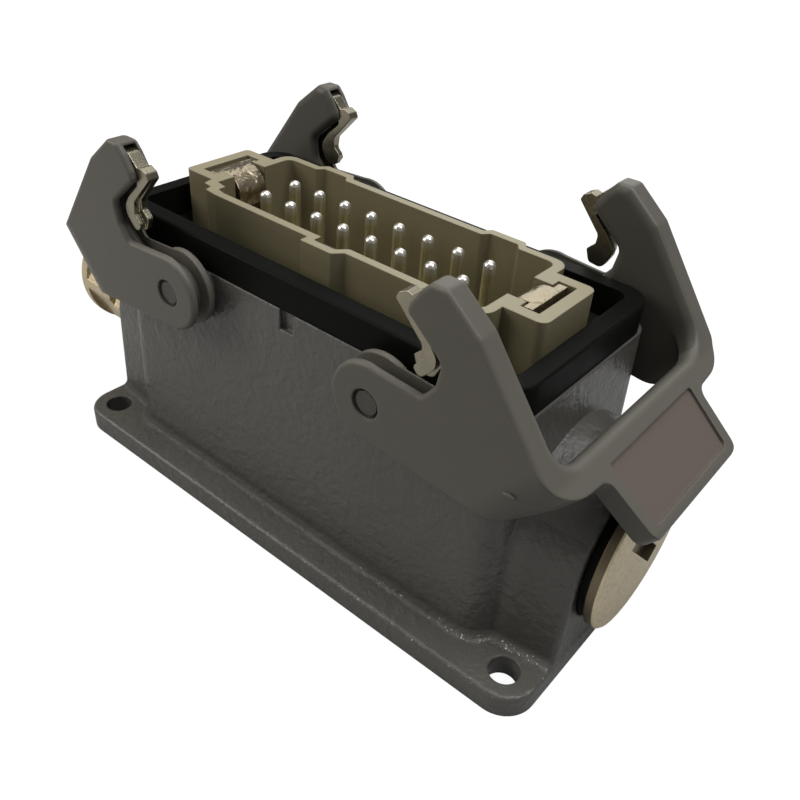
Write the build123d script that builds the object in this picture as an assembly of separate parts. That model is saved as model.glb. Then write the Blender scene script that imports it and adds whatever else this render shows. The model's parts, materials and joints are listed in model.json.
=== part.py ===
"""Surface-mounted rectangular connector housing with a sixteen-pin insert and two locking levers.

Millimetres, +Z up. The origin is the centre of the underside of the mounting flange, +X runs along
the length of the housing and +Y across it. The levers are modelled swung open, as they rest when no
hood is fitted.
"""
from build123d import *
from math import cos, radians, sin, tan
import os

os.makedirs("parts", exist_ok=True)

# Clearances
slip_gap = 0.1
pin_gap = 0.1
body_gap = 0.35
blind_end_gap = 0.2

# Mounting flange
flange_length = 117.0
flange_width = 57.0
flange_thickness = 4.5
flange_corner_radius = 6.0
flange_edge_radius = 0.8
mount_hole_spacing_x = 105.0
mount_hole_spacing_y = 46.0
mount_hole_diameter = 5.5

# Cast housing walls
foot_length = 94.0
foot_width = 44.0
wall_draft = 1.6
wall_corner_radius = 5.5
shoulder_height = 49.3
floor_thickness = 3.5
cavity_length = 85.4
cavity_width = 34.6
cavity_corner_radius = 3.0
root_radius = 1.8
notch_x = 0.0
notch_width = 3.2
notch_height = 3.8
notch_depth = 0.9

# Collar and rim gasket
collar_height = 4.0
collar_thickness = 1.3
gasket_skin = 1.0
gasket_height = 5.8
gasket_inner_length = 84.2
gasket_inner_width = 34.4
gasket_lip_radius = 0.5

# Cable entries at both ends
entry_height = 22.4
boss_root_half_width = 18.5
boss_face_half_width = 16.4
boss_foot_flare = 0.9
boss_setback = 0.3
entry_boss_edge_radius = 1.2
entry_bore_diameter = 25.0
entry_seat_depth = 1.3
seal_ring_width = 2.2
seal_edge_gap = 0.2
plug_seal_thickness = 2.9
gland_seal_thickness = 1.6
shank_length = 9.0
shank_wall = 2.4

# Blanking plug
plug_head_radius = 15.5
plug_head_thickness = 1.8
plug_head_edge = 0.35
plug_dome_height = 0.5
plug_slot_length = 16.0
plug_slot_width = 3.2
plug_slot_depth = 1.9

# Cable gland
gland_collar_width = 3.0
gland_collar_across_flats = 26.8
gland_neck_radius = 11.0
gland_neck_length = 5.1
gland_nut_across_flats = 23.4
gland_nut_length = 8.4
gland_dome_radius = 13.0
gland_dome_length = 4.2
gland_dome_edge_radius = 3.0
gland_nut_wall = 1.5
gland_mouth_diameter = 17.0
gland_bore_diameter = 18.0
grommet_bore_diameter = 12.0

# Insert moulding
seat_height = 36.0
insert_flange_length = 84.5
insert_flange_width = 34.0
insert_flange_thickness = 3.4
insert_corner_radius = 2.5
insert_fixing_spacing_x = 77.5
insert_fixing_spacing_y = 27.0
rim_height = 59.0
shroud_half_length = 33.0
shroud_front = 12.1
shroud_back = 12.2
shroud_wall = 1.6
shroud_corner_radius = 2.6
end_block_half_width = 7.8
pocket_half_width = 5.6
pocket_floor = 47.0
gate_half_width = 3.8
bulge_depth = 1.4
bulge_near = 15.5
bulge_far = 24.3
step_depth = 1.8
step_left = 3.6
step_right = 3.4
contact_floor = 43.0
coding_post_x = 0.4
coding_post_size = 1.6
coding_post_reach = 2.6
coding_post_top = 57.0
terminal_block_width = 28.0
terminal_block_bottom = 21.0

# Contacts
contact_columns = 8
contact_pitch = 6.5
contact_row_spacing = 7.5
pin_diameter = 2.2
pin_tip_height = 58.8
terminal_diameter = 4.4
terminal_bottom = 23.0
terminal_top = 37.5
wire_bore_diameter = 2.8
wire_bore_depth = 7.0
terminal_screw_height = 27.0
terminal_screw_diameter = 2.6
terminal_screw_recess = 1.6
terminal_slot_depth = 0.8
screw_slot_width = 0.8

# Earth contacts in the end blocks
earth_strip_thickness = 1.6
earth_leg_outer = 36.7
earth_leg_half_width = 5.1
earth_tongue_half_width = 3.3
earth_bend_radius = 4.2
earth_leg_bottom = 24.0
earth_screw_diameter = 4.0
earth_screw_head_diameter = 7.0
earth_screw_head_height = 2.4
earth_screw_height = 29.5
earth_slot_depth = 1.2
earth_screw_gap = 2.55
end_block_margin = 3.8
pocket_inner_margin = 2.0
pocket_outer_margin = 1.4
terminal_block_margin = 1.6

# Insert fixing screws
fixing_screw_diameter = 4.0
fixing_screw_head_diameter = 6.4
fixing_screw_head_height = 2.4
fixing_slot_length = 4.4
fixing_slot_depth = 1.3
fixing_screw_depth = 9.0
fixing_hole_gap = 0.25
post_diameter = 8.0

# Hinges of the locking levers
pivot_x = 23.3
pivot_z = 46.0
hinge_pin_diameter = 4.2
hinge_pin_depth = 3.6
hinge_pin_recess = 0.35
hinge_eye_radius = 7.0
hinge_rebate_diameter = 5.2
hinge_rebate_depth = 1.0
hinge_boss_radius = 5.2

# Locking levers
arm_inner = 22.4
arm_thickness = 4.8
arm_slot_width = 2.5
hinge_core_radius = 4.4
arm_edge_radius = 0.7
panel_tilt = 37.8
panel_height = 20.6
ridge_position = 24.8
handle_thickness = 3.6
handle_wall = 2.2
handle_skirt = 1.7
crossbar_inner = 23.4
crossbar_rounding = 1.6
crossbar_outer = 27.4
crossbar_thickness = 2.8
inner_corner_radius = 5.0
outer_corner_radius = 7.5
handle_root = 28.2
handle_end = 39.9
handle_root_half_width = 15.4
handle_end_half_width = 14.4
recess_start = 26.9
recess_end = 37.8
recess_half_width = 13.4
panel_recess = 0.5

arm_outer = arm_inner + arm_thickness
spring_width = arm_slot_width - 2 * slip_gap
collar_inner_length = gasket_inner_length + 2 * gasket_skin
collar_inner_width = gasket_inner_width + 2 * gasket_skin
collar_outer_length = collar_inner_length + 2 * collar_thickness
collar_outer_width = collar_inner_width + 2 * collar_thickness
gasket_outer_length = collar_outer_length + 2 * gasket_skin
gasket_outer_width = collar_outer_width + 2 * gasket_skin
gasket_top = shoulder_height + gasket_height
seal_outer_diameter = entry_bore_diameter + 2 * seal_ring_width
entry_seat_diameter = seal_outer_diameter + 2 * seal_edge_gap
boss_face = flange_length / 2 - boss_setback
seal_seat = boss_face - entry_seat_depth
plug_start = seal_seat + plug_seal_thickness
gland_start = seal_seat + gland_seal_thickness
row_offset = contact_row_spacing / 2
first_column = -(contact_columns - 1) * contact_pitch / 2
fixing_x = insert_fixing_spacing_x / 2
fixing_y = insert_fixing_spacing_y / 2
earth_leg_inner = earth_leg_outer - earth_strip_thickness
earth_screw_hole = earth_screw_diameter + slip_gap
earth_screw_tip = -first_column + terminal_diameter / 2 + earth_screw_gap
end_block_half_length = earth_leg_outer + end_block_margin
pocket_start = earth_leg_outer - pocket_inner_margin
pocket_end = earth_leg_outer + pocket_outer_margin
terminal_block_length = 2 * (earth_leg_inner - terminal_block_margin)


def rounded_face(corners):
    """Face from a ring of corners (x, y, radius); a corner with a radius becomes an arc."""
    count = len(corners)
    starts = []
    ends = []
    edges = []
    for index in range(count):
        x, y, radius = corners[index]
        here = Vector(x, y)
        if radius == 0:
            starts.append(here)
            ends.append(here)
            continue
        to_before = (Vector(*corners[index - 1][:2]) - here).normalized()
        to_after = (Vector(*corners[(index + 1) % count][:2]) - here).normalized()
        half_angle = radians(to_before.get_angle(to_after) / 2)
        reach = radius / tan(half_angle)
        inward = (to_before + to_after).normalized()
        starts.append(here + to_before * reach)
        ends.append(here + to_after * reach)
        middle = here + inward * (radius / sin(half_angle) - radius)
        edges.append(ThreePointArc(starts[-1], middle, ends[-1]))
    for index in range(count):
        following = starts[(index + 1) % count]
        if (following - ends[index]).length > 0.001:
            edges.append(Line(ends[index], following))
    return make_face(Wire(edges))


def upright(face, bottom, top):
    """Raise a face drawn in plan from one height to another."""
    return Pos(0, 0, bottom) * extrude(face, top - bottom, dir=(0, 0, 1))


def block(x_low, x_high, y_low, y_high, z_low, z_high):
    """Plain box between limits."""
    centre = ((x_low + x_high) / 2, (y_low + y_high) / 2, (z_low + z_high) / 2)
    return Pos(*centre) * Box(x_high - x_low, y_high - y_low, z_high - z_low)


def rod_z(x, y, bottom, top, diameter):
    """Upright cylinder."""
    return Pos(x, y, (bottom + top) / 2) * Cylinder(diameter / 2, top - bottom)


def rod_x(start, end, y, z, diameter):
    """Cylinder lying along X."""
    return Pos((start + end) / 2, y, z) * Rot(0, 90, 0) * Cylinder(diameter / 2, end - start)


def rod_y(x, start, end, z, diameter):
    """Cylinder lying along Y."""
    return Pos(x, (start + end) / 2, z) * Rot(90, 0, 0) * Cylinder(diameter / 2, end - start)


def across(face, y_low, y_high):
    """Extrude a face whose own X and Y stand for world X and Z between two world Y limits."""
    solid = extrude(face, y_high - y_low, dir=(0, 0, 1))
    return Pos(0, y_high, 0) * Rot(90, 0, 0) * solid


def mirrored_x(shape):
    """Copy at the other end of the housing."""
    return mirror(shape, about=Plane.YZ)


def mirrored_y(shape):
    """Copy on the other long side."""
    return mirror(shape, about=Plane.XZ)


def all_four(shape):
    """A corner shape repeated in the four corners."""
    pair = shape + mirrored_x(shape)
    return pair + mirrored_y(pair)


# Housing shell
def flange():
    plate = upright(RectangleRounded(flange_length, flange_width, flange_corner_radius), 0, flange_thickness)
    return fillet(plate.faces().sort_by(Axis.Z)[-1].edges(), flange_edge_radius)


def drafted_walls():
    """Tapered outer walls from inside the flange up to the shoulder."""
    outline = RectangleRounded(foot_length, foot_width, wall_corner_radius)
    rise = shoulder_height - flange_thickness + 1
    return Pos(0, 0, flange_thickness - 1) * extrude(outline, rise, taper=wall_draft)


def arch(half_width, position):
    """Upright arch across the housing at one X position, standing inside the flange."""
    foot = half_width + boss_foot_flare
    bottom = flange_thickness - 3
    crown = (0, entry_height + half_width)
    sides = [Line((-foot, bottom), (foot, bottom)), Line((foot, bottom), (half_width, entry_height))]
    sides += [ThreePointArc((half_width, entry_height), crown, (-half_width, entry_height))]
    sides += [Line((-half_width, entry_height), (-foot, bottom))]
    return Plane.YZ.offset(position) * make_face(Wire(sides))


def entry_boss():
    """Arched boss around the cable entry, narrowing from the wall to its face."""
    body = loft([arch(boss_root_half_width, foot_length / 2 - 6), arch(boss_face_half_width, boss_face)])
    face = body.faces().sort_by(Axis.X)[-1]
    rim = [edge for edge in face.edges() if edge.center().Z > flange_thickness]
    return fillet(rim, entry_boss_edge_radius)


def insert_post():
    """Corner column under the insert flange, grown into the corner of the walls."""
    radius = post_diameter / 2
    side_x = cavity_length / 2 + 1
    side_y = cavity_width / 2 + 1
    low = floor_thickness - 1
    column = rod_z(fixing_x, fixing_y, low, seat_height, post_diameter)
    column += block(fixing_x, side_x, fixing_y - radius, side_y, low, seat_height)
    column += block(fixing_x - radius, side_x, fixing_y, side_y, low, seat_height)
    return column


def collar():
    """Narrow tongue standing on the shoulder, over which the gasket is pressed."""
    outer = RectangleRounded(collar_outer_length, collar_outer_width, wall_corner_radius - 1.5)
    inner = RectangleRounded(collar_inner_length, collar_inner_width, cavity_corner_radius - 0.2)
    return upright(outer - inner, shoulder_height - 0.5, shoulder_height + collar_height)


def hinge_boss():
    """Round pad on the long wall that keeps the lever arm off the casting."""
    root = gasket_outer_width / 2 + 0.05
    pad = rod_y(pivot_x, root, arm_inner - body_gap, pivot_z, 2 * hinge_boss_radius)
    reach = hinge_boss_radius + 1
    keep = block(pivot_x - reach, pivot_x + reach, 0, arm_inner, pivot_z - reach, shoulder_height)
    return pad & keep


def gasket_notch():
    """Shallow notch in the front wall, just under the gasket."""
    face = foot_width / 2 - (shoulder_height - flange_thickness) * tan(radians(wall_draft))
    low = shoulder_height - notch_height
    left = notch_x - notch_width / 2
    return block(left, left + notch_width, -face - 1, -face + notch_depth, low, shoulder_height)


def cast_outside():
    """Flange, walls and entry bosses, with a root radius where they rise from the flange."""
    body = flange() + drafted_walls() + entry_boss() + mirrored_x(entry_boss())
    foot = []
    for edge in body.edges():
        middle = edge.center()
        level = abs(middle.Z - flange_thickness) < 0.01
        if level and abs(middle.X) < boss_face - 3 and abs(middle.Y) < flange_width / 2 - 3:
            foot.append(edge)
    return fillet(foot, root_radius)


def housing_shell():
    cast = cast_outside()
    cavity = RectangleRounded(cavity_length, cavity_width, cavity_corner_radius)
    cast -= upright(cavity, floor_thickness, shoulder_height + 1)
    cast += collar() + all_four(insert_post()) + all_four(hinge_boss())
    cast -= gasket_notch()
    cast -= rod_x(-boss_face - 1, boss_face + 1, 0, entry_height, entry_bore_diameter)
    seat = rod_x(seal_seat, boss_face + 1, 0, entry_height, entry_seat_diameter)
    cast -= seat + mirrored_x(seat)
    hole_x = mount_hole_spacing_x / 2
    hole_y = mount_hole_spacing_y / 2
    cast -= all_four(rod_z(hole_x, hole_y, -1, flange_thickness + 1, mount_hole_diameter))
    depth = seat_height - fixing_screw_depth - 1
    cast -= all_four(rod_z(fixing_x, fixing_y, depth, seat_height + 1, fixing_screw_diameter + slip_gap))
    bore_end = arm_inner - body_gap - hinge_pin_depth - blind_end_gap
    cast -= all_four(rod_y(pivot_x, bore_end, arm_inner, pivot_z, hinge_pin_diameter + slip_gap))
    return cast


# Rim gasket
def rim_gasket():
    outer = RectangleRounded(gasket_outer_length, gasket_outer_width, wall_corner_radius - 0.5)
    body = upright(outer, shoulder_height, gasket_top)
    body = fillet(body.faces().sort_by(Axis.Z)[-1].edges(), gasket_lip_radius)
    hole = RectangleRounded(gasket_inner_length, gasket_inner_width, cavity_corner_radius - 1)
    body -= upright(hole, shoulder_height - 1, gasket_top + 1)
    return body - collar()


# Insert moulding
def ribbed_corner(inner):
    """Corners of the zigzag wall at the front left, outside or inside face."""
    if inner:
        return [(-31.3, -7.9, 0), (-28.7, -8.3, 0.2), (-28.6, -10.0, 0.2), (-26.6, -10.5, 0.3)]
    outer = [(-33.0, -8.4, 0.3), (-32.6, -9.9, 0.2), (-30.5, -10.2, 0.1)]
    return outer + [(-30.1, -11.7, 0.2), (-27.2, -12.1, 0.3)]


def front_step(wall, nearer):
    """Outward step at the middle of the front wall: square on the left, sloped on the right."""
    line = -shroud_front + wall
    out = line - step_depth
    shift = wall if nearer else 0
    left = [(-step_left + shift, line, 0.2), (-step_left + shift, out, 0.3)]
    return left + [(step_right - shift / 3, out, 0.6), (step_right + 1.5 - shift / 3, line, 0.6)]


def back_bulges(wall):
    """Two outward bulges along the back wall, listed from the right end to the left."""
    line = shroud_back - wall
    out = line + bulge_depth
    shift = wall / 3
    right = [(bulge_far - shift, line, 0.6), (bulge_far - shift - 1, out, 0.6)]
    right += [(bulge_near + shift + 1, out, 0.6), (bulge_near + shift, line, 0.6)]
    left = [(-x, y, radius) for x, y, radius in reversed(right)]
    return right + left


def shroud_outline():
    """Outer plan outline of the shroud with its two end blocks."""
    block_x = end_block_half_length
    block_y = end_block_half_width
    ring = [(-block_x, -block_y, 0.9), (-shroud_half_length, -block_y, 0)]
    ring += ribbed_corner(False) + front_step(0, False)
    ring += [(shroud_half_length, -shroud_front, shroud_corner_radius)]
    ring += [(shroud_half_length, -block_y, 0), (block_x, -block_y, 1.6)]
    ring += [(block_x, block_y, 1.6), (shroud_half_length, block_y, 0)]
    ring += [(shroud_half_length, shroud_back, shroud_corner_radius)]
    ring += back_bulges(0)
    ring += [(-shroud_half_length, shroud_back, shroud_corner_radius)]
    ring += [(-shroud_half_length, block_y, 0), (-block_x, block_y, 0.9)]
    return rounded_face(ring)


def shroud_interior():
    """Plan outline of the hollow around the pins."""
    end = shroud_half_length - 1.8
    front = -shroud_front + shroud_wall
    back = shroud_back - shroud_wall
    ring = ribbed_corner(True) + front_step(shroud_wall, True)
    ring += [(end, front, 1.2), (end, back, 1.6)]
    ring += back_bulges(shroud_wall)
    ring += [(-end, back, 1.6)]
    return rounded_face(ring)


def end_pocket():
    """Gate and pocket of the right end block that hold the earth contact."""
    above = rim_height + 1
    gate_y = gate_half_width
    gate = block(shroud_half_length - 2.5, pocket_start + 0.1, -gate_y, gate_y, contact_floor, above)
    pocket = block(pocket_start, pocket_end, -pocket_half_width, pocket_half_width, pocket_floor, above)
    leg_y = earth_leg_half_width + slip_gap
    leg = block(earth_leg_inner - slip_gap, earth_leg_outer + slip_gap, -leg_y, leg_y, 0, rim_height)
    return gate + pocket + leg


def contact_positions():
    """Plan positions of the contacts, front row first."""
    spots = []
    for row in (-1, 1):
        for column in range(contact_columns):
            spots.append((first_column + column * contact_pitch, row * row_offset))
    return spots


def insert_body():
    flange_plate = RectangleRounded(insert_flange_length, insert_flange_width, insert_corner_radius)
    body = upright(flange_plate, seat_height, seat_height + insert_flange_thickness)
    body += upright(shroud_outline(), seat_height, rim_height)
    terminal_block = RectangleRounded(terminal_block_length, terminal_block_width, 1.5)
    body += upright(terminal_block, terminal_block_bottom, seat_height + 1)
    body -= upright(shroud_interior(), contact_floor, rim_height + 1)
    body -= end_pocket() + mirrored_x(end_pocket())
    post_low = coding_post_x - coding_post_size / 2
    post_high = post_low + coding_post_size
    post_end = -shroud_front + coding_post_reach
    body += block(post_low, post_high, -shroud_front - 0.5, post_end, contact_floor - 1, coding_post_top)
    plate_top = seat_height + insert_flange_thickness
    fixing_hole = fixing_screw_diameter + 2 * fixing_hole_gap
    body -= all_four(rod_z(fixing_x, fixing_y, seat_height - 1, plate_top + 1, fixing_hole))
    for x, y in contact_positions():
        side = 1 if y > 0 else -1
        body -= rod_z(x, y, terminal_top - 1, contact_floor + 1, pin_diameter + slip_gap)
        body -= rod_z(x, y, terminal_block_bottom - 1, terminal_top, terminal_diameter + slip_gap)
        reach = sorted((y, side * (terminal_block_width / 2 + 1)))
        body -= rod_y(x, reach[0], reach[1], terminal_screw_height, terminal_screw_diameter + slip_gap)
    bore = rod_x(earth_screw_tip - 1, earth_leg_outer + 3, 0, earth_screw_height, earth_screw_hole)
    return body - bore - mirrored_x(bore)


# Contacts
def contact_pin(x, y):
    """Pin with a rounded tip on a screw-terminal barrel."""
    radius = pin_diameter / 2
    pin = rod_z(x, y, terminal_top - 0.5, pin_tip_height - radius, pin_diameter)
    pin += Pos(x, y, pin_tip_height - radius) * Sphere(radius)
    pin += rod_z(x, y, terminal_bottom, terminal_top, terminal_diameter)
    pin -= rod_z(x, y, terminal_bottom - 1, terminal_bottom + wire_bore_depth, wire_bore_diameter)
    reach = sorted((y, y + (3 if y > 0 else -3)))
    return pin - rod_y(x, reach[0], reach[1], terminal_screw_height, terminal_screw_diameter + slip_gap)


def terminal_screws():
    """One clamping screw from the long side into every contact barrel."""
    group = []
    for x, y in contact_positions():
        side = 1 if y > 0 else -1
        tip = y + side * 1.0
        head = side * (terminal_block_width / 2 - terminal_screw_recess)
        reach = sorted((tip, head))
        screw = rod_y(x, reach[0], reach[1], terminal_screw_height, terminal_screw_diameter)
        slot = Box(4, 2 * terminal_slot_depth, screw_slot_width)
        group.append(screw - Pos(x, head, terminal_screw_height) * slot)
    return Compound(children=group)


# Earth contacts
def earth_strip():
    """Bent strip of the right end block: upright leg, flat top and a rolled tongue facing the pins."""
    outer = earth_bend_radius
    inner = outer - earth_strip_thickness
    top = rim_height - 0.1
    centre_x = earth_leg_inner - 0.5
    centre_z = top - outer
    reach = earth_leg_half_width
    leg = block(earth_leg_inner, earth_leg_outer, -reach, reach, earth_leg_bottom, top)
    roll = Pos(centre_x, centre_z) * (Circle(outer) - Circle(inner))
    roll -= Pos(centre_x, centre_z - 3 * outer) * Rectangle(20, 20, align=(Align.MIN, Align.MIN))
    corner = (Align.MIN, Align.MIN)
    bridge = Pos(centre_x, top - earth_strip_thickness) * Rectangle(1.5, earth_strip_thickness, align=corner)
    tongue = across(roll + bridge, -earth_tongue_half_width, earth_tongue_half_width)
    strip = leg + tongue
    bore = rod_x(earth_leg_inner - 1, earth_leg_outer + 1, 0, earth_screw_height, earth_screw_hole)
    return strip - bore


def earth_screw():
    """Terminal screw through the leg of the right earth strip."""
    head_end = earth_leg_outer + earth_screw_head_height
    screw = rod_x(earth_screw_tip, earth_leg_outer, 0, earth_screw_height, earth_screw_diameter)
    screw += rod_x(earth_leg_outer, head_end, 0, earth_screw_height, earth_screw_head_diameter)
    slot = Box(2 * earth_slot_depth, earth_screw_head_diameter + 1, screw_slot_width)
    return screw - Pos(head_end, 0, earth_screw_height) * slot


def fixing_screw():
    """Pan-head screw through one corner of the insert flange."""
    seat = seat_height + insert_flange_thickness
    head_top = seat + fixing_screw_head_height
    screw = rod_z(fixing_x, fixing_y, seat_height - fixing_screw_depth, seat, fixing_screw_diameter)
    head = rod_z(fixing_x, fixing_y, seat, head_top, fixing_screw_head_diameter)
    head = chamfer(head.faces().sort_by(Axis.Z)[-1].edges(), 0.6)
    slot = Box(fixing_slot_length, screw_slot_width, 2 * fixing_slot_depth)
    cross = slot + Rot(0, 0, 90) * slot
    return screw + head - Pos(fixing_x, fixing_y, head_top) * cross


# Entry fittings
def entry_seal(thickness):
    """Flat sealing ring of the right entry."""
    end = seal_seat + thickness
    ring = rod_x(seal_seat, end, 0, entry_height, seal_outer_diameter)
    return ring - rod_x(seal_seat - 1, end + 1, 0, entry_height, entry_bore_diameter)


def blanking_plug():
    """Screw plug of the right entry: faintly domed head with a driver slot at forty-five degrees."""
    rim = plug_head_thickness
    crown = rim + plug_dome_height
    radius = plug_head_radius
    edge = plug_head_edge
    shank_radius = entry_bore_diameter / 2 - slip_gap
    cup = shank_radius - shank_wall
    half_way = (radius * 0.55, rim + plug_dome_height * 0.7)
    outline = [ThreePointArc((0, crown), half_way, (radius - edge, rim))]
    outline += [Line((radius - edge, rim), (radius, rim - edge)), Line((radius, rim - edge), (radius, 0))]
    outline += [Line((radius, 0), (shank_radius, 0)), Line((shank_radius, 0), (shank_radius, -shank_length))]
    outline += [Line((shank_radius, -shank_length), (cup, -shank_length))]
    outline += [Line((cup, -shank_length), (cup, -1)), Line((cup, -1), (0, -1)), Line((0, -1), (0, crown))]
    turned = revolve(Plane.XZ * make_face(Wire(outline)), Axis.Z)
    slot = Pos(0, 0, crown) * Box(plug_slot_length, plug_slot_width, 2 * plug_slot_depth)
    plug = turned - Rot(0, 0, 45) * slot
    return Pos(plug_start, 0, entry_height) * Rot(0, 90, 0) * plug


def hexagon_prism(across_flats, length, corner_cut):
    """Hexagonal prism on the XY plane with its sharp corners turned off."""
    corner = across_flats / 2 / cos(radians(30))
    prism = extrude(RegularPolygon(corner, 6), length)
    return prism & Pos(0, 0, length / 2) * Cylinder(corner - corner_cut, length)


def to_left_entry(shape, offset):
    """Turn a fitting drawn along Z so that it points out of the left entry."""
    return Pos(-gland_start - offset, 0, entry_height) * Rot(0, -90, 0) * Rot(0, 0, 90) * shape


def gland_body():
    """Hexagonal body of the cable gland, screwed into the left entry."""
    body = hexagon_prism(gland_collar_across_flats, gland_collar_width, 0.25)
    body += Pos(0, 0, -shank_length / 2) * Cylinder(entry_bore_diameter / 2 - slip_gap, shank_length)
    neck = gland_neck_length + gland_nut_length - 1
    body += Pos(0, 0, gland_collar_width + neck / 2) * Cylinder(gland_neck_radius, neck)
    body -= Cylinder(gland_bore_diameter / 2, 60)
    return to_left_entry(body, 0)


def gland_nut():
    """Cap nut of the gland: hexagon with a rounded end and an open mouth."""
    length = gland_nut_length + gland_dome_length
    dome = Pos(0, 0, length - gland_dome_length / 2) * Cylinder(gland_dome_radius, gland_dome_length)
    dome = fillet(dome.faces().sort_by(Axis.Z)[-1].edges(), gland_dome_edge_radius)
    nut = hexagon_prism(gland_nut_across_flats, gland_nut_length, 0.5) + dome
    nut -= Pos(0, 0, length / 2) * Cylinder(gland_mouth_diameter / 2, length + 2)
    depth = gland_nut_length - gland_nut_wall + 1
    nut -= Pos(0, 0, depth / 2) * Cylinder(gland_neck_radius + slip_gap, depth)
    return to_left_entry(nut, gland_collar_width + gland_neck_length)


def gland_grommet():
    """Rubber sealing bush held in the gland."""
    length = gland_collar_width + gland_neck_length + gland_nut_length - 1
    outer = gland_bore_diameter / 2 - slip_gap
    bush = Pos(0, 0, length / 2) * (Cylinder(outer, length) - Cylinder(grommet_bore_diameter / 2, length + 2))
    return to_left_entry(bush, 0)


# Hinges
def hinge_pin():
    """Pin pressed into the long wall for one lever arm."""
    root = arm_inner - body_gap - hinge_pin_depth
    return rod_y(pivot_x, root, arm_outer - hinge_pin_recess, pivot_z, hinge_pin_diameter)


# Locking lever of the right end, drawn about its pivot
def arm_outline():
    """Side outline of the lever: hinge eye, hooked arm and handle, in world X and Z."""
    tilt = radians(panel_tilt)
    along = (cos(tilt), -sin(tilt))
    normal = (sin(tilt), cos(tilt))

    def panel_point(distance, height):
        return (along[0] * distance + normal[0] * height, along[1] * distance + normal[1] * height)

    top = panel_point(ridge_position, panel_height)
    top_end = panel_point(handle_end, panel_height)
    low_end = panel_point(handle_end, panel_height - handle_thickness)
    low = panel_point(crossbar_outer, panel_height - handle_thickness)
    ring = [(1.2, hinge_eye_radius - 0.15, 0), (9.9, 6.3, 1.0), (12.1, 9.2, 1.8), (12.8, 13.1, 1.8)]
    ring += [(6.4, 18.6, 0.9), (6.7, 20.0, 0.9), (8.4, 22.6, 2.0), (9.9, 24.2, 0.9), (12.5, 24.2, 1.3)]
    ring += [(18.4, 19.4, 2.5), (top[0], top[1], 4.0), (top_end[0], top_end[1], 1.3)]
    ring += [(low_end[0], low_end[1], 1.0), (low[0], low[1], 3.0)]
    ring += [(24.3, -8.9, 6.0), (0, -hinge_eye_radius, 0)]
    return rounded_face(ring) + Circle(hinge_eye_radius)


def lever_plan():
    """Plan of the lever seen square to its panel: two arms, rounded corners and the handle."""
    half = [(-10, arm_inner, 0), (-10, arm_outer, 0), (crossbar_outer, arm_outer, outer_corner_radius)]
    half += [(handle_root, handle_root_half_width, 2.0), (handle_end, handle_end_half_width, 2.6)]
    other = [(x, -y, radius) for x, y, radius in reversed(half[1:])]
    inner = [(-10, -arm_inner, 0), (crossbar_inner, -arm_inner, inner_corner_radius)]
    inner += [(crossbar_inner, arm_inner, inner_corner_radius)]
    return rounded_face(half + other + inner)


def spring_slot():
    """Outline of the gap between the two walls of an arm, from round the core of the eye up to the tip."""
    eye = hinge_eye_radius + 2
    ring = [(-eye, -eye, 0), (2.0, -eye, 0), (2.0, -3.5, 0), (9.8, 3.8, 1.5)]
    ring += [(14.9, 8.4, 2.0), (15.4, 13.0, 2.0), (11.8, 17.2, 1.0), (12.7, 20.6, 0.6)]
    ring += [(11.6, 23.6, 0.6), (7.0, 23.6, 0)]
    ring += [(2.0, 22.0, 0), (2.0, 12.0, 0), (-eye, eye, 0)]
    return rounded_face(ring) - Circle(hinge_core_radius)


def in_lever_frame(face):
    """Place a face drawn square to the handle panel in the tilted plane of the panel."""
    tilt = radians(panel_tilt)
    plane = Plane(origin=(0, 0, 0), x_dir=(cos(tilt), 0, -sin(tilt)), z_dir=(sin(tilt), 0, cos(tilt)))
    return plane * face


def panel_cut(corners, height, reach):
    """Prism over an outline in the plane of the panel, from one height above the pivot."""
    normal = Vector(sin(radians(panel_tilt)), 0, cos(radians(panel_tilt)))
    lift = normal * height
    direction = normal if reach > 0 else -normal
    return Pos(*lift) * extrude(in_lever_frame(rounded_face(corners)), abs(reach), dir=direction)


def beside_crossbar(point):
    """True for a point on the upper inner edge of the crossbar."""
    tilt = radians(panel_tilt)
    along = point.X * cos(tilt) - point.Z * sin(tilt)
    height = point.X * sin(tilt) + point.Z * cos(tilt)
    return abs(along - crossbar_inner) < 0.05 and height > panel_height - crossbar_thickness


def lever_moulding():
    body = across(arm_outline(), -arm_outer, arm_outer)
    sides = body.faces().sort_by(Axis.Y)
    body = fillet(sides[0].edges() + sides[-1].edges(), arm_edge_radius)
    normal = Vector(sin(radians(panel_tilt)), 0, cos(radians(panel_tilt)))
    body &= extrude(in_lever_frame(lever_plan()), 60, dir=normal, both=True)
    bar = [edge for edge in body.edges() if abs(edge.center().Y) < 1 and beside_crossbar(edge.center())]
    body = fillet(bar, crossbar_rounding)
    below = [(-10, -arm_inner, 0), (crossbar_outer, -arm_inner, inner_corner_radius)]
    below += [(crossbar_outer, arm_inner, inner_corner_radius), (-10, arm_inner, 0)]
    body -= panel_cut(below, panel_height - crossbar_thickness, -60)
    slot_low = arm_inner + (arm_thickness - arm_slot_width) / 2
    slot = across(spring_slot(), slot_low, slot_low + arm_slot_width)
    body -= slot + mirrored_y(slot)
    body -= rod_y(0, -arm_outer - 1, arm_outer + 1, 0, hinge_pin_diameter + 2 * pin_gap)
    rebate = rod_y(0, arm_outer - hinge_rebate_depth, arm_outer + 1, 0, hinge_rebate_diameter)
    body -= rebate + mirrored_y(rebate)
    root = recess_half_width
    tip = root - 1.0
    recess = [(recess_start, -root, 0.6), (recess_end, -tip, 1.0)]
    recess += [(recess_end, tip, 1.0), (recess_start, root, 0.6)]
    body -= panel_cut(recess, panel_height - panel_recess, 5)
    side = handle_end_half_width - handle_skirt
    start = crossbar_inner + handle_skirt
    end = handle_end - handle_skirt
    hollow = [(start, -side, 1.0), (end, -side, 1.0), (end, side, 1.0), (start, side, 1.0)]
    body -= panel_cut(hollow, panel_height - handle_wall, -30)
    return Pos(pivot_x, 0, pivot_z) * body


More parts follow.
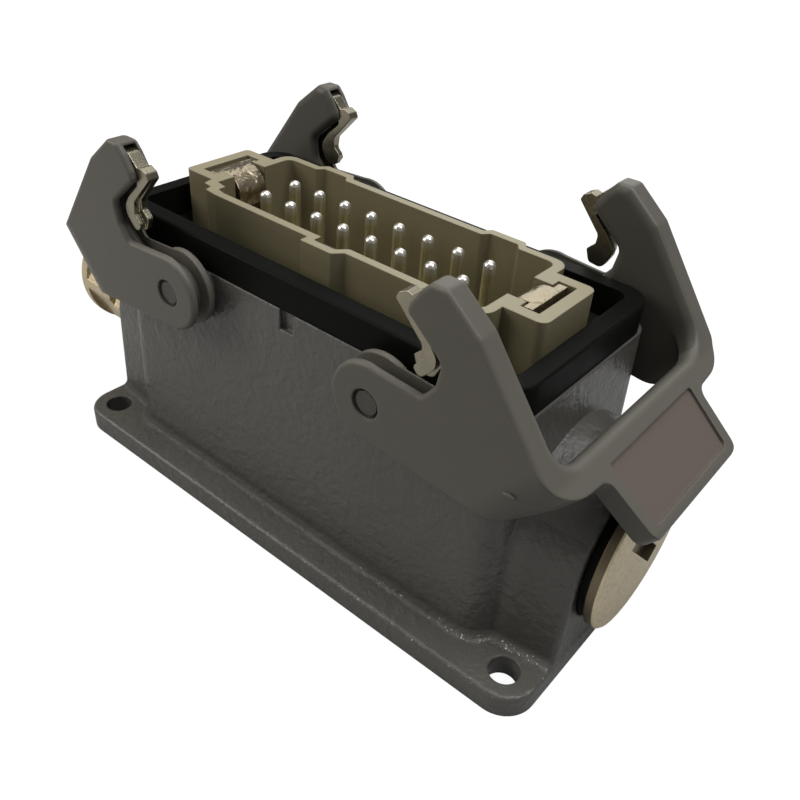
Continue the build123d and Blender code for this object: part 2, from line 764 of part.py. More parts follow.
def hook_spring():
    """Flat spring plate in the slot of the right back arm; its hollow takes the locking peg of a hood."""
    head = [(9.9, 14.6, 0.8), (6.6, 17.7, 0.8), (8.2, 19.4, 0.6), (10.9, 21.7, 0.5), (10.2, 23.0, 0.5)]
    head += [(8.5, 22.6, 1.0), (6.4, 20.6, 0), (5.4, 20.9, 0.4), (4.1, 20.3, 0.4), (3.6, 19.2, 0.4)]
    outside = head + [(8.6, 14.0, 1.2), (8.9, 11.8, 0.8), (7.4, 9.8, 0.6), (8.6, 8.3, 0.9), (11.9, 11.7, 2.4)]
    inside = head + [(8.2, 14.1, 1.2), (8.1, 12.4, 0.8), (6.6, 11.0, 0.5), (7.4, 8.7, 1.0), (10.1, 8.4, 1.4)]
    inside += [(11.9, 11.9, 2.0)]
    low = arm_inner + (arm_thickness - spring_width) / 2
    middle = low + spring_width / 2
    plate = across(rounded_face(inside), low, middle)
    plate += across(rounded_face(outside), middle, low + spring_width)
    return Pos(pivot_x, 0, pivot_z) * plate


# Export
def save(shape, name):
    export_step(shape, "parts/" + name + ".step")


def save_group(solids, name):
    save(Compound(children=solids), name)


def four_copies(shape):
    across_x = mirrored_x(shape)
    return [shape, across_x, mirrored_y(shape), mirrored_y(across_x)]


save(housing_shell(), "housing_shell")
save(rim_gasket(), "rim_gasket")
save(insert_body(), "insert_body")
for number, (spot_x, spot_y) in enumerate(contact_positions(), start=1):
    save(contact_pin(spot_x, spot_y), f"contact_pin_{number:02d}")
save(terminal_screws(), "terminal_screws")
save(earth_strip(), "earth_strip_right")
save(mirrored_x(earth_strip()), "earth_strip_left")
save_group([earth_screw(), mirrored_x(earth_screw())], "earth_screws")
save_group(four_copies(fixing_screw()), "fixing_screws")
save(blanking_plug(), "blanking_plug")
save(entry_seal(plug_seal_thickness), "plug_seal")
save(mirrored_x(entry_seal(gland_seal_thickness)), "gland_seal")
save(gland_body(), "gland_body")
save(gland_nut(), "gland_nut")
save(gland_grommet(), "gland_grommet")
save_group(four_copies(hinge_pin()), "hinge_pins")
lever = lever_moulding()
save(lever, "lever_right")
save(mirrored_x(lever), "lever_left")
spring = hook_spring()
save(spring, "spring_right_back")
save(mirrored_y(spring), "spring_right_front")
save(mirrored_x(spring), "spring_left_back")
save(mirrored_x(mirrored_y(spring)), "spring_left_front")
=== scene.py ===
import json
import math

import bpy
import numpy as np
from bpy.props import FloatProperty, FloatVectorProperty, PointerProperty
from mathutils import Matrix, Vector


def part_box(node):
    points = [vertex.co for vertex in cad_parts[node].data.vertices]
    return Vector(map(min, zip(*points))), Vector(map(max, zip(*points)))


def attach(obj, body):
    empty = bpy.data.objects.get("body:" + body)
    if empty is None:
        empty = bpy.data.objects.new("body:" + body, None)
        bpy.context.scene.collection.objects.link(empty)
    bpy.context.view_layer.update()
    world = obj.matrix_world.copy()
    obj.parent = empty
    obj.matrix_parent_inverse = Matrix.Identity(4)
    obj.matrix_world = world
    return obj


bl_info = {
    "name": "Rectangular connector finishes",
    "version": (1, 0, 0),
    "blender": (4, 5, 0),
    "location": "3D View > Sidebar > Connector",
    "description": "Finishes, small moulded details and studio for a housing with two locking levers",
    "category": "Object",
}

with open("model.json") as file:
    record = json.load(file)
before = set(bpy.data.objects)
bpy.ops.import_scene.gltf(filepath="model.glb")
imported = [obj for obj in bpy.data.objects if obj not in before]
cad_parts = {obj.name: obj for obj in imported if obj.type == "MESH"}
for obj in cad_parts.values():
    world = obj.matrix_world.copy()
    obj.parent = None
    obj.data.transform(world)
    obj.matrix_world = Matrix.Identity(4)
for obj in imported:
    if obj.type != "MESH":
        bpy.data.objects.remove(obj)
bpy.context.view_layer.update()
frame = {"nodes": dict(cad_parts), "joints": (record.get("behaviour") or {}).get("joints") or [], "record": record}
plug_low, plug_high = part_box("blanking_plug")
nut_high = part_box("gland_nut")[1]
pin_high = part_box("contact_pin_01")[1]
lever_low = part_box("lever_right")[0]

MILLIMETRE = 0.001


def place_of(rows, name):
    """Place of the mount or joint with this name."""
    return next(row["pos_m"] for row in rows if row["name"] == name)


# Heights and distances of the object that finishes and details follow
FLANGE_TOP = place_of(frame["record"]["mounts"], "fixing_holes")[2]
PIVOT_OUT = place_of(frame["joints"], "right_lever_hinge")[0]
PIVOT_HEIGHT = place_of(frame["joints"], "right_lever_hinge")[2]
ENTRY_HEIGHT = (plug_low.z + plug_high.z) / 2
WALL_END = 47.0 * MILLIMETRE
PLUG_START = 50.0 * MILLIMETRE
SLOT_DEPTH_MIDDLE = 60.6 * MILLIMETRE
GLAND_NECK = 61.6 * MILLIMETRE

# Handle panel, in directions along the handle and square to it, from the pivot
HANDLE_TILT = math.radians(37.8)
PANEL_HEIGHT = 20.1 * MILLIMETRE
PANEL_MIDDLE = 32.4 * MILLIMETRE
PANEL_HALF_LENGTH = 5.8 * MILLIMETRE
PANEL_HALF_WIDTH = 13.5 * MILLIMETRE

# Colours of small marks, some of them painted glints and painted dark reflection, and of the plated screws and
# pins
GLINT_GREY = (0.60, 0.59, 0.55)
ZINC = (0.42, 0.41, 0.39)
DARK_STEEL = (0.085, 0.083, 0.072)
WORN_AND_GLINT_STEEL = (0.45, 0.44, 0.42)
TARNISH_AND_DARK_REFLECTION = (0.10, 0.08, 0.05)

# Camera of the photograph, in metres and in shares of the picture
CAMERA_PLACE = (0.08839, -0.104152, 0.120594)
CAMERA_SHIFT = (-0.00192, 0.00305)


def colour_property(name, description, default):
    """Colour of one finish, as a user of the panel sees it."""
    return FloatVectorProperty(
        name=name, description=description, subtype="COLOR", size=3, min=0.0, max=1.0, default=default
    )


def length_property(name, description, default):
    """Small length in metres."""
    return FloatProperty(
        name=name,
        description=description,
        unit="LENGTH",
        subtype="DISTANCE",
        min=0.0,
        precision=6,
        default=default,
    )


def angle_property(name, description, default):
    """Angle in radians, shown in degrees."""
    return FloatProperty(name=name, description=description, subtype="ANGLE", default=default)


def power_property(name, description, default):
    """Power of a lamp in watts."""
    return FloatProperty(name=name, description=description, unit="POWER", min=0.0, default=default)


class FinishSettings(bpy.types.PropertyGroup):
    """Colours of the finishes and the sizes of their texture."""

    casting_colour: colour_property("Casting", "Textured powder coat of the housing", (0.095, 0.092, 0.082))
    lever_colour: colour_property("Lever", "Plastic of the locking levers", (0.126, 0.119, 0.100))
    insert_colour: colour_property("Insert", "Plastic of the pin insert", (0.295, 0.265, 0.175))
    rubber_colour: colour_property("Rubber", "Gasket and sealing rings", (0.0055, 0.0057, 0.005))
    nickel_colour: colour_property("Nickel", "Plug and cable gland", (0.65, 0.555, 0.375))
    strip_colour: colour_property("Strip", "Stamped steel spring plates", (0.30, 0.275, 0.205))
    bronze_colour: colour_property("Bronze", "Strips of the earth contacts", (0.40, 0.34, 0.235))
    silver_colour: colour_property("Silver", "Tips of the contact pins", (0.80, 0.78, 0.72))
    # The shafts' gilt is partly a painted reflection of the olive insert.
    gilt_and_reflection_colour: colour_property("Gilt", "Shafts of the contact pins", (0.62, 0.57, 0.36))
    coat_cell: length_property("Coat cell", "Size of one dimple of the powder coat", 1.3 * MILLIMETRE)
    coat_depth: length_property("Coat depth", "Height of the dimples", 0.15 * MILLIMETRE)


class DetailSettings(bpy.types.PropertyGroup):
    """Sizes of the pieces that are added to the frame."""

    thread_radius: length_property("Thread radius", "Crest radius of the gland's thread", 11.3 * MILLIMETRE)
    thread_pitch: length_property("Thread pitch", "Distance between two turns", 1.5 * MILLIMETRE)
    thread_depth: length_property("Thread depth", "Height of a turn", 0.7 * MILLIMETRE)


class StageSettings(bpy.types.PropertyGroup):
    """Camera, lamps and surroundings."""

    lens: FloatProperty(name="Lens", description="Focal length of the camera", unit="CAMERA", default=37.76)
    azimuth: angle_property("Azimuth", "Turn of the camera", 0.647369)
    elevation: angle_property("Elevation", "Height of the camera", 0.632064)
    roll: angle_property("Roll", "Tilt of the camera", 0.078627)
    key_power: power_property("Key lamp", "Power of the overhead softbox", 6.5)
    left_power: power_property("Left lamp", "Power of the left softbox", 1.85)
    back_power: power_property("Back lamp", "Power of the back softbox", 2.6)
    right_power: power_property("Right lamp", "Power of the right softbox", 5.2)
    surround: FloatProperty(name="Surroundings", description="Grey level of the room", min=0.0, default=0.15)


def add(tree, kind, inputs=None, **properties):
    """New shader node; an input given as a socket is linked, any other value is set on it."""
    node = tree.nodes.new("ShaderNode" + kind)
    for name, value in properties.items():
        setattr(node, name, value)
    for name, value in (inputs or {}).items():
        if isinstance(value, bpy.types.NodeSocket):
            tree.links.new(value, node.inputs[name])
        else:
            node.inputs[name].default_value = value
    return node


def calc(tree, operation, first, second=0.0, third=0.0):
    """Result of one arithmetic step; a comparison takes its tolerance as the third value."""
    return add(tree, "Math", {0: first, 1: second, 2: third}, operation=operation).outputs[0]


def all_of(tree, first, *others):
    """Mask that is 1 where all the given masks are 1."""
    for other in others:
        first = calc(tree, "MULTIPLY", first, other)
    return first


def ramp(tree, value, start, end):
    """0 at the start value and before it, 1 at the end value and beyond it."""
    return add(tree, "MapRange", {"Value": value, "From Min": start, "From Max": end}).outputs["Result"]


def noise(tree, place, scale, detail, roughness=0.5, distortion=0.0):
    """Noise whose patches measure about one over the scale, in metres."""
    inputs = {"Vector": place, "Scale": scale, "Detail": detail}
    inputs |= {"Roughness": roughness, "Distortion": distortion}
    return add(tree, "TexNoise", inputs).outputs[0]


def object_place(tree):
    """Place on the object."""
    return add(tree, "TexCoord").outputs["Object"]


def parts_of(tree, vector):
    """X, Y and Z of a place or a direction."""
    return add(tree, "SeparateXYZ", {"Vector": vector}).outputs


def facing(tree):
    """X, Y and Z of the direction that the surface faces."""
    return parts_of(tree, add(tree, "NewGeometry").outputs["Normal"])


def grey(level):
    """Neutral colour of one level."""
    return (level, level, level, 1.0)


def scaled(colour, factor):
    """The same colour, lighter or darker."""
    return tuple(part * factor for part in colour)


def tinted(colour, factors):
    """The colour with its red, green and blue each multiplied by a factor."""
    return tuple(part * factor for part, factor in zip(colour, factors))


def new_group(name, inputs, outputs):
    """Empty node group with named number inputs and named outputs."""
    tree = bpy.data.node_groups.new(name, "ShaderNodeTree")
    for label, default in inputs.items():
        socket = tree.interface.new_socket(name=label, in_out="INPUT", socket_type="NodeSocketFloat")
        socket.default_value = default
    for label, kind in outputs.items():
        tree.interface.new_socket(name=label, in_out="OUTPUT", socket_type="NodeSocket" + kind)
    return tree, tree.nodes.new("NodeGroupInput").outputs, tree.nodes.new("NodeGroupOutput").inputs


def use(tree, name, **inputs):
    """Place a node group in a material with its own values."""
    node = tree.nodes.new("ShaderNodeGroup")
    node.node_tree = bpy.data.node_groups[name]
    for label, value in inputs.items():
        node.inputs[label].default_value = value
    return node.outputs


def build_rounded_edges():
    """Normal rounded over the arrises, and a mask that grows to 1 as it leaves the flat one."""
    outputs = {"Normal": "Vector", "Edge": "Float"}
    tree, given, result = new_group("Rounded edges", {"Radius": 0.3 * MILLIMETRE}, outputs)
    rounded = add(tree, "Bevel", {"Radius": given["Radius"]}, samples=6).outputs["Normal"]
    flat = add(tree, "NewGeometry").outputs["Normal"]
    alike = add(tree, "VectorMath", {0: rounded, 1: flat}, operation="DOT_PRODUCT").outputs["Value"]
    tree.links.new(rounded, result["Normal"])
    tree.links.new(ramp(tree, alike, 0.99, 0.78), result["Edge"])


def build_dimpled_coat():
    """Uneven dimples of a textured coat: warped noise with rounded cells, over a broad ripple."""
    cell_height = 0.45
    ripple_height = 1.6
    ripple_scale = 0.3
    tree, given, result = new_group("Dimpled coat", {"Cell": 1.0 * MILLIMETRE}, {"Height": "Float"})
    place = object_place(tree)
    scale = calc(tree, "DIVIDE", 1.0, given["Cell"])
    warped = noise(tree, place, scale, 2.5, roughness=0.55, distortion=0.8)
    cells = add(tree, "TexVoronoi", {"Vector": place, "Scale": scale, "Smoothness": 0.6}, feature="SMOOTH_F1")
    ripple = noise(tree, place, calc(tree, "DIVIDE", ripple_scale, given["Cell"]), 1.0, distortion=1.2)
    height = calc(tree, "MULTIPLY_ADD", cells.outputs["Distance"], cell_height, warped)
    height = calc(tree, "MULTIPLY_ADD", ripple, ripple_height, height)
    tree.links.new(height, result["Height"])


def build_mottling():
    """Soft patches: a multiplier that wanders round 1 by the given amount."""
    inputs = {"Size": 10.0 * MILLIMETRE, "Amount": 0.1}
    tree, given, result = new_group("Mottling", inputs, {"Value": "Float"})
    scale = calc(tree, "DIVIDE", 1.0, given["Size"])
    patches = noise(tree, object_place(tree), scale, 4.0, roughness=0.6)
    centred = calc(tree, "MULTIPLY_ADD", patches, 2.0, -1.0)
    tree.links.new(calc(tree, "MULTIPLY_ADD", centred, given["Amount"], 1.0), result["Value"])


def build_specks():
    """Scattered specks of uneven size: cells of a lattice, a share of which holds one speck."""
    grain_per_cell = 3.0
    size_spread = 0.9
    smallest = -0.25
    inputs = {"Spacing": 1.0 * MILLIMETRE, "Share": 0.1}
    tree, given, result = new_group("Specks", inputs, {"Mask": "Float"})
    place = object_place(tree)
    scale = calc(tree, "DIVIDE", 1.0, given["Spacing"])
    cells = add(tree, "TexVoronoi", {"Vector": place, "Scale": scale})
    chance = add(tree, "SeparateColor", {"Color": cells.outputs["Color"]}).outputs[0]
    chosen = calc(tree, "LESS_THAN", chance, given["Share"])
    ragged = noise(tree, place, calc(tree, "MULTIPLY", scale, grain_per_cell), 2.0)
    size = calc(tree, "MULTIPLY_ADD", ragged, size_spread, smallest)
    near = calc(tree, "LESS_THAN", cells.outputs["Distance"], size)
    tree.links.new(all_of(tree, chosen, near), result["Mask"])


def build_drawn_grain():
    """Fine parallel lines of rolled or ground metal, drawn out along Z."""
    stretch = (1.0, 1.0, 0.06)
    tree, given, result = new_group("Drawn grain", {"Width": 0.1 * MILLIMETRE}, {"Height": "Float"})
    stretched = add(tree, "Mapping", {"Vector": object_place(tree), "Scale": stretch}).outputs[0]
    scale = calc(tree, "DIVIDE", 1.0, given["Width"])
    tree.links.new(noise(tree, stretched, scale, 1.0), result["Height"])


def finish(
    name,
    colour,
    roughness,
    metallic=0.0,
    specular=0.25,
    grain=None,
    depth=0.0,
    mottle=(10.0 * MILLIMETRE, 0.06),
    edge=(0.3 * MILLIMETRE, 0.25),
):
    """Material of one finish; returns it with its node tree and its colour.

    The grain has a depth, the mottle is the size and strength of soft patches, and the edge is the radius of
    the arrises and the strength of the painted highlight that makes them brighter.
    """
    material = bpy.data.materials.new(name)
    material.use_nodes = True
    tree = material.node_tree
    shader = tree.nodes["Principled BSDF"]
    edge_radius, edge_highlight_gain = edge
    patch_size, patch_strength = mottle
    edges = use(tree, "Rounded edges", Radius=edge_radius)
    patches = use(tree, "Mottling", Size=patch_size, Amount=patch_strength)
    # Painted highlight: the arrises are made brighter in colour.
    lighter = calc(tree, "MULTIPLY_ADD", edges["Edge"], edge_highlight_gain, 1.0)
    value = calc(tree, "MULTIPLY", patches["Value"], lighter)
    tint = add(tree, "HueSaturation", {"Color": (*colour, 1.0), "Value": value}).outputs[0]
    tree.links.new(tint, shader.inputs["Base Color"])
    tree.links.new(calc(tree, "MULTIPLY", patches["Value"], roughness), shader.inputs["Roughness"])
    shader.inputs["Metallic"].default_value = metallic
    shader.inputs["Specular IOR Level"].default_value = specular
    bump = add(tree, "Bump", {"Strength": 1.0, "Distance": depth, "Normal": edges["Normal"]})
    if grain is not None:
        tree.links.new(grain(tree), bump.inputs["Height"])
    tree.links.new(bump.outputs[0], shader.inputs["Normal"])
    return material, tree, tint


def dimples(cell):
    """Height of a dimpled coat with cells of one size."""
    return lambda tree: use(tree, "Dimpled coat", Cell=cell)["Height"]


def drawn(width):
    """Height of a drawn grain with lines of one width."""
    return lambda tree: use(tree, "Drawn grain", Width=width)["Height"]


def turned_rings(pitch):
    """Height of the lathe's rings round the axis of the cable entries."""
    ring_at_scale_one = 0.314

    def height(tree):
        axis = (0.0, 0.0, -ENTRY_HEIGHT)
        centred = add(tree, "Mapping", {"Vector": object_place(tree), "Location": axis}).outputs[0]
        inputs = {"Vector": centred, "Scale": ring_at_scale_one / pitch, "Distortion": 0.4, "Detail": 1.0}
        rings = add(tree, "TexWave", inputs, wave_type="RINGS", rings_direction="X")
        return rings.outputs["Fac"]

    return height


def blend_colour(tree, under, mask, colour):
    """Lay another colour over a finish where the mask is 1; returns the blended colour."""
    shader = tree.nodes["Principled BSDF"]
    mix = add(tree, "Mix", {0: mask, 6: under, 7: (*colour, 1.0)}, data_type="RGBA")
    tree.links.new(mix.outputs[2], shader.inputs["Base Color"])
    return mix.outputs[2]


def edge_glints(tree, place, axes, upward):
    """Painted glints: bright flecks in clusters on the rounded edge of the flange, more of them towards the plug.
    """
    slant = 0.6
    slant_spread = 0.37
    cluster_share = 0.35
    glint_level = 0.86
    band = calc(tree, "COMPARE", axes["Z"], FLANGE_TOP - 0.1 * MILLIMETRE, 0.8 * MILLIMETRE)
    slanted = calc(tree, "COMPARE", upward, slant, slant_spread)
    grit = noise(tree, place, 2000.0, 2.0, roughness=0.7)
    cluster = noise(tree, place, 120.0, 1.0)
    glinting = calc(tree, "GREATER_THAN", calc(tree, "MULTIPLY_ADD", cluster, cluster_share, grit), glint_level)
    near_plug = ramp(tree, axes["X"], WALL_END - 37.0 * MILLIMETRE, WALL_END - 11.0 * MILLIMETRE)
    return all_of(tree, band, slanted, glinting, near_plug)


def above_flange(tree, axes):
    """1 on all that stands on the flange."""
    return ramp(tree, axes["Z"], FLANGE_TOP, FLANGE_TOP + 0.4 * MILLIMETRE)


def shaded_wall_foot(tree, axes):
    """Hollow along the foot of the walls, where shade is painted; it fades out upwards and towards the plug."""
    low = ramp(tree, axes["Z"], FLANGE_TOP + 3.5 * MILLIMETRE, FLANGE_TOP + 0.5 * MILLIMETRE)
    away = ramp(tree, axes["X"], WALL_END - 1.0 * MILLIMETRE, WALL_END - 11.0 * MILLIMETRE)
    return all_of(tree, above_flange(tree, axes), low, away)


def shaded_boss_sides(tree, axes, upward):
    """Steep sides of the boss that carries the plug, where shade is painted."""
    beyond = ramp(tree, axes["X"], WALL_END + 1.0 * MILLIMETRE, WALL_END + 3.0 * MILLIMETRE)
    steep = calc(tree, "LESS_THAN", upward, 0.5)
    return all_of(tree, above_flange(tree, axes), beyond, steep)


def powder_coat(settings):
    """Dark textured powder coat, with painted glints on the flange's edge, and painted shade darkening the walls'
    foot and the boss's steep sides.
    """
    foot_shade_strength = 0.9
    boss_shade_strength = 0.45
    foot_dullness = 0.35
    material, tree, tint = finish(
        "Textured powder coat",
        settings.casting_colour,
        roughness=0.33,
        specular=0.5,
        grain=dimples(settings.coat_cell),
        depth=settings.coat_depth,
        mottle=(20.0 * MILLIMETRE, 0.10),
        edge=(0.6 * MILLIMETRE, 0.15),
    )
    place = object_place(tree)
    axes = parts_of(tree, place)
    upward = facing(tree)["Z"]
    foot = shaded_wall_foot(tree, axes)
    # Painted shade: the walls' foot and the boss's steep sides are darkened in the coat's colour; the foot is also
    # made duller.
    foot_shade = calc(tree, "MULTIPLY", foot, foot_shade_strength)
    boss_shade = calc(tree, "MULTIPLY", shaded_boss_sides(tree, axes, upward), boss_shade_strength)
    shade = calc(tree, "MAXIMUM", foot_shade, boss_shade)
    shaded = blend_colour(tree, tint, shade, scaled(settings.casting_colour, 0.45))
    # Painted glints: bright grey flecks on the flange's edge.
    blend_colour(tree, shaded, edge_glints(tree, place, axes, upward), GLINT_GREY)
    rough = tree.nodes["Principled BSDF"].inputs["Roughness"]
    tree.links.new(calc(tree, "MULTIPLY_ADD", foot, foot_dullness, rough.links[0].from_socket), rough)
    return material


def moulded_rubber(settings):
    """Black rubber with a faint bloom."""
    return finish(
        "Black rubber",
        settings.rubber_colour,
        roughness=0.45,
        specular=0.05,
        grain=dimples(0.4 * MILLIMETRE),
        depth=0.01 * MILLIMETRE,
        mottle=(6.0 * MILLIMETRE, 0.25),
    )[0]


def insert_plastic(settings):
    """Glass-filled plastic of the insert, satin, with painted shade that darkens its upright walls."""
    material, tree, tint = finish(
        "Insert plastic",
        settings.insert_colour,
        roughness=0.38,
        grain=dimples(0.5 * MILLIMETRE),
        depth=0.01 * MILLIMETRE,
        mottle=(12.0 * MILLIMETRE, 0.05),
        edge=(0.3 * MILLIMETRE, 0.18),
    )
    # Painted shade: the upright walls are darker than the faces that look up.
    upright_shade = ramp(tree, facing(tree)["Z"], 0.9, 0.3)
    blend_colour(tree, tint, upright_shade, tinted(settings.insert_colour, (0.65, 0.64, 0.58)))
    return material


def handle_panel(tree, axes):
    """Floor of the sunken panel of a handle: its place is turned about the pivot by the handle's tilt."""
    out = calc(tree, "SUBTRACT", calc(tree, "ABSOLUTE", axes["X"]), PIVOT_OUT)
    up = calc(tree, "SUBTRACT", axes["Z"], PIVOT_HEIGHT)
    square_up = calc(tree, "MULTIPLY", up, math.cos(HANDLE_TILT))
    along_up = calc(tree, "MULTIPLY", up, -math.sin(HANDLE_TILT))
    square = calc(tree, "MULTIPLY_ADD", out, math.sin(HANDLE_TILT), square_up)
    along = calc(tree, "MULTIPLY_ADD", out, math.cos(HANDLE_TILT), along_up)
    level = calc(tree, "COMPARE", square, PANEL_HEIGHT, 0.25 * MILLIMETRE)
    reach = calc(tree, "COMPARE", along, PANEL_MIDDLE, PANEL_HALF_LENGTH)
    inside = calc(tree, "LESS_THAN", calc(tree, "ABSOLUTE", axes["Y"]), PANEL_HALF_WIDTH)
    return all_of(tree, level, reach, inside)


def shaded_inner_sides(tree, axes):
    """Faces of the lever arms that look inwards, which get painted shade: side and direction have unlike signs
    there.
    """
    product = calc(tree, "MULTIPLY", axes["Y"], facing(tree)["Y"])
    return calc(tree, "LESS_THAN", product, -12.0 * MILLIMETRE)


def lever_plastic(settings):
    """Warm grey lever plastic with a browner handle panel, and painted shade on the inner sides of the arms."""
    material, tree, tint = finish(
        "Lever plastic",
        settings.lever_colour,
        roughness=0.40,
        grain=dimples(0.6 * MILLIMETRE),
        depth=0.012 * MILLIMETRE,
        mottle=(15.0 * MILLIMETRE, 0.05),
        edge=(0.5 * MILLIMETRE, 0.22),
    )
    axes = parts_of(tree, object_place(tree))
    # Painted shade: the inner sides of the arms are darkened.
    shaded = blend_colour(tree, tint, shaded_inner_sides(tree, axes), scaled(settings.lever_colour, 0.66))
    browner = tinted(settings.lever_colour, (1.12, 0.97, 0.97))
    blend_colour(tree, shaded, handle_panel(tree, axes), browner)
    return material


def silver_plate(settings):
    """Contact pins: gilt shafts, whose colour is partly a painted reflection of the olive insert, that turn to
    bright silver at the rounded tip.
    """
    material, tree, tint = finish(
        "Silver plate",
        settings.gilt_and_reflection_colour,
        roughness=0.26,
        metallic=0.85,
        mottle=(2.0 * MILLIMETRE, 0.10),
        edge=(0.1 * MILLIMETRE, 0.0),
    )
    height = parts_of(tree, object_place(tree))["Z"]
    tip = ramp(tree, height, pin_high.z - 2.6 * MILLIMETRE, pin_high.z - 1.3 * MILLIMETRE)
    blend_colour(tree, tint, tip, settings.silver_colour)
    return material


def zinc_plate():
    """Plated screws."""
    return finish(
        "Zinc plate",
        ZINC,
        roughness=0.35,
        metallic=1.0,
        grain=drawn(0.2 * MILLIMETRE),
        depth=0.01 * MILLIMETRE,
    )[0]


def dark_pin():
    """Hinge pins, dark with a few light spots that are partly worn steel and partly painted glints."""
    material, tree, tint = finish(
        "Dark pin",
        DARK_STEEL,
        roughness=0.42,
        metallic=0.5,
        grain=dimples(0.5 * MILLIMETRE),
        depth=0.03 * MILLIMETRE,
    )
    # Light spots: partly wear, partly painted glints.
    worn_and_glint = use(tree, "Specks", Spacing=1.6 * MILLIMETRE, Share=0.12)
    blend_colour(tree, tint, worn_and_glint["Mask"], WORN_AND_GLINT_STEEL)
    return material


def stamped_strip(name, colour, grain, depth):
    """Rolled strip, as it is stamped for the springs and the earth contacts."""
    return finish(
        name,
        colour,
        roughness=0.27,
        metallic=0.95,
        grain=grain,
        depth=depth,
        mottle=(3.0 * MILLIMETRE, 0.22),
        edge=(0.3 * MILLIMETRE, 0.5),
    )[0]


def dark_slot(tree, place, axes):
    """Patchy darkening in the plug's driver slot, which slants by 45 degrees across the entry axis."""
    strength_spread = 0.35
    least_strength = 0.45
    above = calc(tree, "SUBTRACT", axes["Z"], ENTRY_HEIGHT)
    across = calc(tree, "ABSOLUTE", calc(tree, "ADD", axes["Y"], above))
    beside = calc(tree, "LESS_THAN", across, 2.6 * MILLIMETRE)
    sunk = calc(tree, "COMPARE", axes["X"], SLOT_DEPTH_MIDDLE, 0.7 * MILLIMETRE)
    near = calc(tree, "LESS_THAN", calc(tree, "ABSOLUTE", above), 7.0 * MILLIMETRE)
    patchy = ramp(tree, noise(tree, place, 1800.0, 3.0), 0.35, 0.6)
    strength = calc(tree, "MULTIPLY_ADD", patchy, strength_spread, least_strength)
    return all_of(tree, beside, sunk, near, strength)


def dark_reflection_rim(tree, axes):
    """Turned rim of the plug, which faces sideways; a painted dark reflection darkens it."""
    sideways = calc(tree, "LESS_THAN", facing(tree)["X"], 0.4)
    return all_of(tree, sideways, calc(tree, "GREATER_THAN", axes["X"], PLUG_START))


def nickel_plate(settings):
    """Turned fittings with a dull nickel plate, pitted and tarnished, darker in the driver slot, with a painted
    dark reflection on the plug's rim.
    """
    pit_strength = 0.7
    spot_strength = 0.36
    rim_reflection_strength = 0.85
    material, tree, tint = finish(
        "Nickel plate",
        settings.nickel_colour,
        roughness=0.40,
        metallic=0.9,
        grain=turned_rings(0.4 * MILLIMETRE),
        depth=0.006 * MILLIMETRE,
        mottle=(2.5 * MILLIMETRE, 0.16),
        edge=(0.3 * MILLIMETRE, 0.15),
    )
    place = object_place(tree)
    axes = parts_of(tree, place)
    specks = use(tree, "Specks", Spacing=0.45 * MILLIMETRE, Share=0.13)["Mask"]
    pits = calc(tree, "MULTIPLY", specks, pit_strength)
    blotches = ramp(tree, noise(tree, place, 1300.0, 4.0, roughness=0.65), 0.50, 0.72)
    spots = calc(tree, "MULTIPLY", blotches, spot_strength)
    # Painted dark reflection: the plug's sideways rim is darkened.
    rim = calc(tree, "MULTIPLY", dark_reflection_rim(tree, axes), rim_reflection_strength)
    stain_and_reflection = calc(tree, "MAXIMUM", pits, spots)
    stain_and_reflection = calc(tree, "MAXIMUM", stain_and_reflection, dark_slot(tree, place, axes))
    stain_and_reflection = calc(tree, "MAXIMUM", stain_and_reflection, rim)
    blend_colour(tree, tint, stain_and_reflection, TARNISH_AND_DARK_REFLECTION)
    return material


def nodes_with(slot):
    """CAD nodes that take their finish from one material slot."""
    rows = frame["record"]["subparts"]
    return [frame["nodes"][row["node"]] for row in rows if row["material_slot"] == slot]


def dress(slot, material):
    """Give every CAD node of one slot its material."""
    found = nodes_with(slot)
    if not found:
        raise RuntimeError("no node has the slot " + slot)
    for piece in found:
        piece.data.materials.clear()
        piece.data.materials.append(material)


def new_piece(name, points, faces, material, body):
    """Smooth mesh from points and faces, riding on one body."""
    mesh = bpy.data.meshes.new(name)
    mesh.from_pydata(points.reshape(-1, 3).tolist(), [], faces)
    mesh.validate()
    mesh.polygons.foreach_set("use_smooth", np.ones(len(mesh.polygons), dtype=bool))
    mesh.materials.append(material)
    piece = bpy.data.objects.new(name, mesh)
    bpy.context.scene.collection.objects.link(piece)
    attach(piece, body)


def grid_faces(rows, columns):
    """Quads over a grid whose rows and columns both close on themselves."""
    row, column = np.meshgrid(np.arange(rows), np.arange(columns), indexing="ij")
    next_row = (row + 1) % rows
    next_column = (column + 1) % columns
    corners = [row * columns + column, row * columns + next_column]
    corners += [next_row * columns + next_column, next_row * columns + column]
    return np.stack([corner.ravel() for corner in corners], axis=1)


def thread_surface(start, end, crest, depth, pitch):
    """Screw thread along -X round the entry axis: the radius is crest minus depth times a triangle wave of
    (distance / pitch - angle / full turn); the section closes along a plain inner wall."""
    turns = 96
    steps = 60
    run_out = 12.0
    wall = 0.3 * MILLIMETRE
    angle = np.linspace(0.0, 2.0 * np.pi, turns, endpoint=False)[:, None]
    along = np.linspace(0.0, 1.0, steps)[None, :]
    distance = along * (end - start)
    phase = (distance / pitch - angle / (2.0 * np.pi)) % 1.0
    wave = np.abs(2.0 * phase - 1.0)
    fade = np.clip(np.minimum(along, 1.0 - along) * run_out, 0.0, 1.0)
    radius = crest - depth * wave - depth * (1.0 - fade) * (1.0 - wave)
    inner = np.full_like(radius, crest - depth - wall)
    ring = np.concatenate([radius, inner[:, ::-1]], axis=1)
    reach = np.concatenate([distance, distance[:, ::-1]], axis=1) + np.zeros_like(ring)
    y = ring * np.cos(angle)
    z = ring * np.sin(angle) + ENTRY_HEIGHT
    points = np.stack([-(start + reach), y, z], axis=2)
    return points, grid_faces(turns, 2 * steps)[:, ::-1].tolist()


